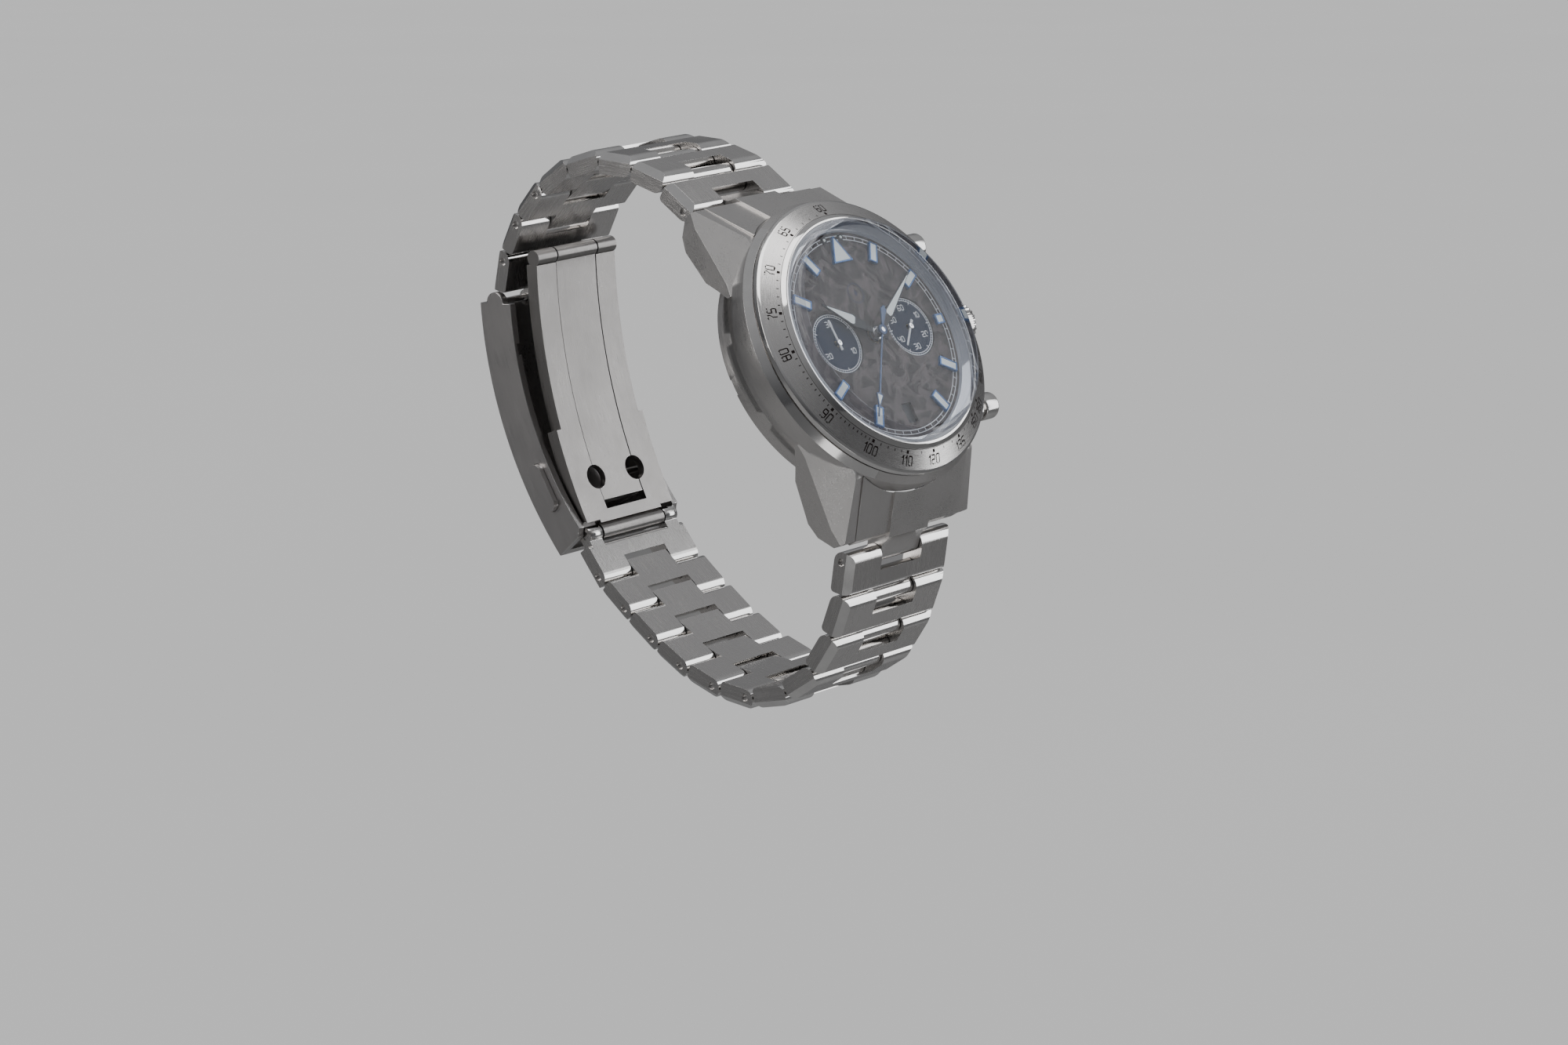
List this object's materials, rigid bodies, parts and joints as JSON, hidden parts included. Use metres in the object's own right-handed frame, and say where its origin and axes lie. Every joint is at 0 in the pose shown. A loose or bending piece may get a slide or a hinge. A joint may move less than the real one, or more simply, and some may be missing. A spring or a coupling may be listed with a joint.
{
  "type": "chronograph wristwatch",
  "caption": "Stopwatch wristwatch with steel case, fixed speed-scale ring, two small dials, crown, pushers and a jointed steel link bracelet closed by a folding clasp.",
  "frame": {"origin": "centre of the case back's flat outer face, where it rests on the wrist", "axes": "+Y out of the case back toward the wrist and the clasp, so the dial faces -Y; +Z toward twelve o'clock; +X toward three o'clock and the crown"},
  "size_m": [0.0455, 0.0669, 0.083],
  "materials": {
    "brushed_steel": "satin brushed stainless steel with polished edge cuts",
    "polished_steel": "polished stainless steel",
    "gasket": "matt",
    "crystal": "polished, faint blue coating",
    "inner_ring": "satin",
    "dial_plate": "streaked grey-brown flakes",
    "marker_blue": "gloss blue frames, white lume fill",
    "subdial_blue": "satin dark blue",
    "date_dark": "satin",
    "hand_dark": "gloss dark frames, white lume fill",
    "hand_blue": "gloss blue",
    "hand_white": "satin",
    "movement_brass": "brushed",
    "movement_steel": "brushed"
  },
  "bodies": {
    "case": {"mid_case": "brushed_steel", "case_back": "brushed_steel", "back_gasket": "gasket", "bezel": "brushed_steel", "crystal": "crystal", "crystal_gasket": "gasket", "rehaut": "inner_ring", "dial": "dial_plate", "hour_markers": "marker_blue", "subdials": "subdial_blue", "movement_ring": "movement_brass", "mainplate": "movement_brass", "bridges": "movement_steel", "barrel": "movement_brass", "crown_tube": "polished_steel", "pusher_tubes": "polished_steel", "end_link_12": "brushed_steel", "end_link_6": "brushed_steel", "lug_bars": "polished_steel"},
    "hour_hand": {"hour_hand": "hand_dark"},
    "minute_hand": {"minute_hand": "hand_dark"},
    "chrono_hand": {"chrono_hand": "hand_blue"},
    "seconds_hand": {"seconds_hand": "hand_white"},
    "counter_hand": {"counter_hand": "hand_white"},
    "date_disc": {"date_disc": "date_dark"},
    "rotor": {"rotor": "movement_brass"},
    "balance": {"balance": "movement_brass"},
    "stem_pinion": {"stem_pinion": "movement_brass"},
    "crown": {"crown": "brushed_steel"},
    "pusher_2": {"pusher_2": "brushed_steel"},
    "pusher_4": {"pusher_4": "brushed_steel"},
    "link12_1": {"link12_1": "brushed_steel"},
    "link12_2": {"link12_2": "brushed_steel"},
    "link12_3": {"link12_3": "brushed_steel"},
    "link12_4": {"link12_4": "brushed_steel"},
    "link12_5": {"link12_5": "brushed_steel"},
    "link12_6": {"link12_6": "brushed_steel"},
    "link12_7": {"link12_7": "brushed_steel"},
    "link12_8": {"link12_8": "brushed_steel"},
    "link6_1": {"link6_1": "brushed_steel"},
    "link6_2": {"link6_2": "brushed_steel"},
    "link6_3": {"link6_3": "brushed_steel"},
    "link6_4": {"link6_4": "brushed_steel"},
    "link6_5": {"link6_5": "brushed_steel"},
    "link6_6": {"link6_6": "brushed_steel"},
    "link6_7": {"link6_7": "brushed_steel"},
    "link6_8": {"link6_8": "brushed_steel"},
    "link6_9": {"link6_9": "brushed_steel"},
    "link6_10": {"link6_10": "brushed_steel"},
    "link6_11": {"link6_11": "brushed_steel"},
    "clasp_cover": {"clasp_cover": "brushed_steel", "clasp_bar": "polished_steel"},
    "blade_outer": {"blade_outer": "brushed_steel"},
    "blade_inner": {"blade_inner": "brushed_steel"},
    "clasp_button_9": {"clasp_button_9": "brushed_steel"},
    "clasp_button_3": {"clasp_button_3": "brushed_steel"}
  },
  "joints": [
    {"name": "minute_turn", "type": "hinge", "parent": "case", "child": "minute_hand", "pos_m": [0, 0, 0], "axis": [0, 1, 0], "continuous": true},
    {"name": "hour_turn", "type": "hinge", "parent": "case", "child": "hour_hand", "pos_m": [0, 0, 0], "axis": [0, 1, 0], "continuous": true},
    {"name": "seconds_turn", "type": "hinge", "parent": "case", "child": "seconds_hand", "pos_m": [0.0076, 0, 0], "axis": [0, 1, 0], "continuous": true},
    {"name": "date_turn", "type": "hinge", "parent": "case", "child": "date_disc", "pos_m": [0, 0, 0], "axis": [0, 1, 0], "continuous": true},
    {"name": "chrono_turn", "type": "hinge", "parent": "case", "child": "chrono_hand", "pos_m": [0, 0, 0], "axis": [0, 1, 0], "continuous": true},
    {"name": "counter_turn", "type": "hinge", "parent": "case", "child": "counter_hand", "pos_m": [-0.0076, 0, 0], "axis": [0, 1, 0], "continuous": true},
    {"name": "rotor_turn", "type": "hinge", "parent": "case", "child": "rotor", "pos_m": [0, 0, 0], "axis": [0, 1, 0], "continuous": true},
    {"name": "balance_swing", "type": "hinge", "parent": "case", "child": "balance", "pos_m": [-0.0052, 0, -0.0072], "axis": [0, 1, 0], "range_deg": [-130, 130]},
    {"name": "crown_turn", "type": "hinge", "parent": "case", "child": "stem_pinion", "pos_m": [0, -0.0058, 0], "axis": [1, 0, 0], "continuous": true},
    {"name": "crown_pull", "type": "slide", "parent": "stem_pinion", "child": "crown", "axis": [1, 0, 0], "range_m": [0, 0.0012]},
    {"name": "pusher_2_press", "type": "slide", "parent": "case", "child": "pusher_2", "axis": [-1, 0, 0], "range_m": [0, 0.0008], "stiffness_N_per_m": 800, "springref_m": -0.0008},
    {"name": "pusher_4_press", "type": "slide", "parent": "case", "child": "pusher_4", "axis": [-1, 0, 0], "range_m": [0, 0.0008], "stiffness_N_per_m": 800, "springref_m": -0.0008},
    {"name": "link12_1_hinge", "type": "hinge", "parent": "case", "child": "link12_1", "pos_m": [0, 0.0021, 0.0265], "axis": [1, 0, 0], "range_deg": [0, 8.88]},
    {"name": "link12_2_hinge", "type": "hinge", "parent": "link12_1", "child": "link12_2", "pos_m": [0, 0.00486, 0.03216], "axis": [1, 0, 0], "range_deg": [0, 7.43]},
    {"name": "link12_3_hinge", "type": "hinge", "parent": "link12_2", "child": "link12_3", "pos_m": [0, 0.00924, 0.03669], "axis": [1, 0, 0], "range_deg": [0, 3.38]},
    {"name": "link12_4_hinge", "type": "hinge", "parent": "link12_3", "child": "link12_4", "pos_m": [0, 0.01452, 0.04013], "axis": [1, 0, 0], "range_deg": [-1.95, 0]},
    {"name": "link12_5_hinge", "type": "hinge", "parent": "link12_4", "child": "link12_5", "pos_m": [0, 0.02063, 0.04165], "axis": [1, 0, 0], "range_deg": [-6.43, 0]},
    {"name": "link12_6_hinge", "type": "hinge", "parent": "link12_5", "child": "link12_6", "pos_m": [0, 0.02692, 0.04121], "axis": [1, 0, 0], "range_deg": [-8.48, 0]},
    {"name": "link12_7_hinge", "type": "hinge", "parent": "link12_6", "child": "link12_7", "pos_m": [0, 0.03294, 0.03937], "axis": [1, 0, 0], "range_deg": [-8.57, 0]},
    {"name": "link12_8_hinge", "type": "hinge", "parent": "link12_7", "child": "link12_8", "pos_m": [0, 0.03834, 0.03612], "axis": [1, 0, 0], "range_deg": [-8.36, 0]},
    {"name": "clasp_swing", "type": "hinge", "parent": "link12_8", "child": "clasp_cover", "pos_m": [0, 0.04272, 0.03159], "axis": [1, 0, 0], "range_deg": [0, 48]},
    {"name": "link6_1_hinge", "type": "hinge", "parent": "case", "child": "link6_1", "pos_m": [0, 0.0021, -0.0265], "axis": [1, 0, 0], "range_deg": [0, 0.222]},
    {"name": "link6_2_hinge", "type": "hinge", "parent": "link6_1", "child": "link6_2", "pos_m": [0, 0.00623, -0.03125], "axis": [1, 0, 0], "range_deg": [0, 0.593]},
    {"name": "link6_3_hinge", "type": "hinge", "parent": "link6_2", "child": "link6_3", "pos_m": [0, 0.01126, -0.03505], "axis": [1, 0, 0], "range_deg": [0, 0.736]},
    {"name": "link6_4_hinge", "type": "hinge", "parent": "link6_3", "child": "link6_4", "pos_m": [0, 0.01702, -0.03761], "axis": [1, 0, 0], "range_deg": [0, 0.727]},
    {"name": "link6_5_hinge", "type": "hinge", "parent": "link6_4", "child": "link6_5", "pos_m": [0, 0.02332, -0.03783], "axis": [1, 0, 0], "range_deg": [0, 0.586]},
    {"name": "link6_6_hinge", "type": "hinge", "parent": "link6_5", "child": "link6_6", "pos_m": [0, 0.02931, -0.03588], "axis": [1, 0, 0], "range_deg": [0, 0.437]},
    {"name": "link6_7_hinge", "type": "hinge", "parent": "link6_6", "child": "link6_7", "pos_m": [0, 0.03434, -0.03209], "axis": [1, 0, 0], "range_deg": [0, 0.317]},
    {"name": "link6_8_hinge", "type": "hinge", "parent": "link6_7", "child": "link6_8", "pos_m": [0, 0.03847, -0.02734], "axis": [1, 0, 0], "range_deg": [0, 0.241]},
    {"name": "link6_9_hinge", "type": "hinge", "parent": "link6_8", "child": "link6_9", "pos_m": [0, 0.04162, -0.02188], "axis": [1, 0, 0], "range_deg": [0, 0.19]},
    {"name": "link6_10_hinge", "type": "hinge", "parent": "link6_9", "child": "link6_10", "pos_m": [0, 0.04418, -0.01612], "axis": [1, 0, 0], "range_deg": [0, 0.169]},
    {"name": "link6_11_hinge", "type": "hinge", "parent": "link6_10", "child": "link6_11", "pos_m": [0, 0.04644, -0.01024], "axis": [1, 0, 0], "range_deg": [0, 0.181]},
    {"name": "blade_tube_hinge", "type": "hinge", "parent": "link6_11", "child": "blade_outer", "pos_m": [0, 0.0463, -0.00398], "axis": [1, 0, 0], "range_deg": [0, 1]},
    {"name": "blade_fold_hinge", "type": "hinge", "parent": "blade_outer", "child": "blade_inner", "pos_m": [0, 0.03435, 0.03442], "axis": [1, 0, 0], "range_deg": [0, 26.93]},
    {"name": "clasp_button_9_press", "type": "slide", "parent": "clasp_cover", "child": "clasp_button_9", "axis": [1, 0, 0], "range_m": [0, 0.0006], "stiffness_N_per_m": 600, "springref_m": -0.0008},
    {"name": "clasp_button_3_press", "type": "slide", "parent": "clasp_cover", "child": "clasp_button_3", "axis": [-1, 0, 0], "range_m": [0, 0.0006], "stiffness_N_per_m": 600, "springref_m": -0.0008}
  ],
  "couplings": [
    {"joint": "hour_turn", "follows": "minute_turn", "ratio": 0.083333},
    {"joint": "seconds_turn", "follows": "minute_turn", "ratio": 60},
    {"joint": "date_turn", "follows": "minute_turn", "ratio": 0.0013441},
    {"joint": "counter_turn", "follows": "chrono_turn", "ratio": 0.033333},
    {"joint": "link12_1_hinge", "follows": "clasp_swing", "ratio": 0.18501},
    {"joint": "link12_2_hinge", "follows": "clasp_swing", "ratio": 0.15473},
    {"joint": "link12_3_hinge", "follows": "clasp_swing", "ratio": 0.07021},
    {"joint": "link12_4_hinge", "follows": "clasp_swing", "ratio": -0.04048},
    {"joint": "link12_5_hinge", "follows": "clasp_swing", "ratio": -0.13388},
    {"joint": "link12_6_hinge", "follows": "clasp_swing", "ratio": -0.17653},
    {"joint": "link12_7_hinge", "follows": "clasp_swing", "ratio": -0.17845},
    {"joint": "link12_8_hinge", "follows": "clasp_swing", "ratio": -0.174},
    {"joint": "link6_1_hinge", "follows": "clasp_swing", "ratio": 0.00453},
    {"joint": "link6_2_hinge", "follows": "clasp_swing", "ratio": 0.01226},
    {"joint": "link6_3_hinge", "follows": "clasp_swing", "ratio": 0.01522},
    {"joint": "link6_4_hinge", "follows": "clasp_swing", "ratio": 0.01504},
    {"joint": "link6_5_hinge", "follows": "clasp_swing", "ratio": 0.0121},
    {"joint": "link6_6_hinge", "follows": "clasp_swing", "ratio": 0.00901},
    {"joint": "link6_7_hinge", "follows": "clasp_swing", "ratio": 0.00649},
    {"joint": "link6_8_hinge", "follows": "clasp_swing", "ratio": 0.00491},
    {"joint": "link6_9_hinge", "follows": "clasp_swing", "ratio": 0.00386},
    {"joint": "link6_10_hinge", "follows": "clasp_swing", "ratio": 0.00341},
    {"joint": "link6_11_hinge", "follows": "clasp_swing", "ratio": 0.00367},
    {"joint": "blade_tube_hinge", "follows": "clasp_swing", "ratio": 0.02079},
    {"joint": "blade_fold_hinge", "follows": "clasp_swing", "ratio": 0.561}
  ]
}
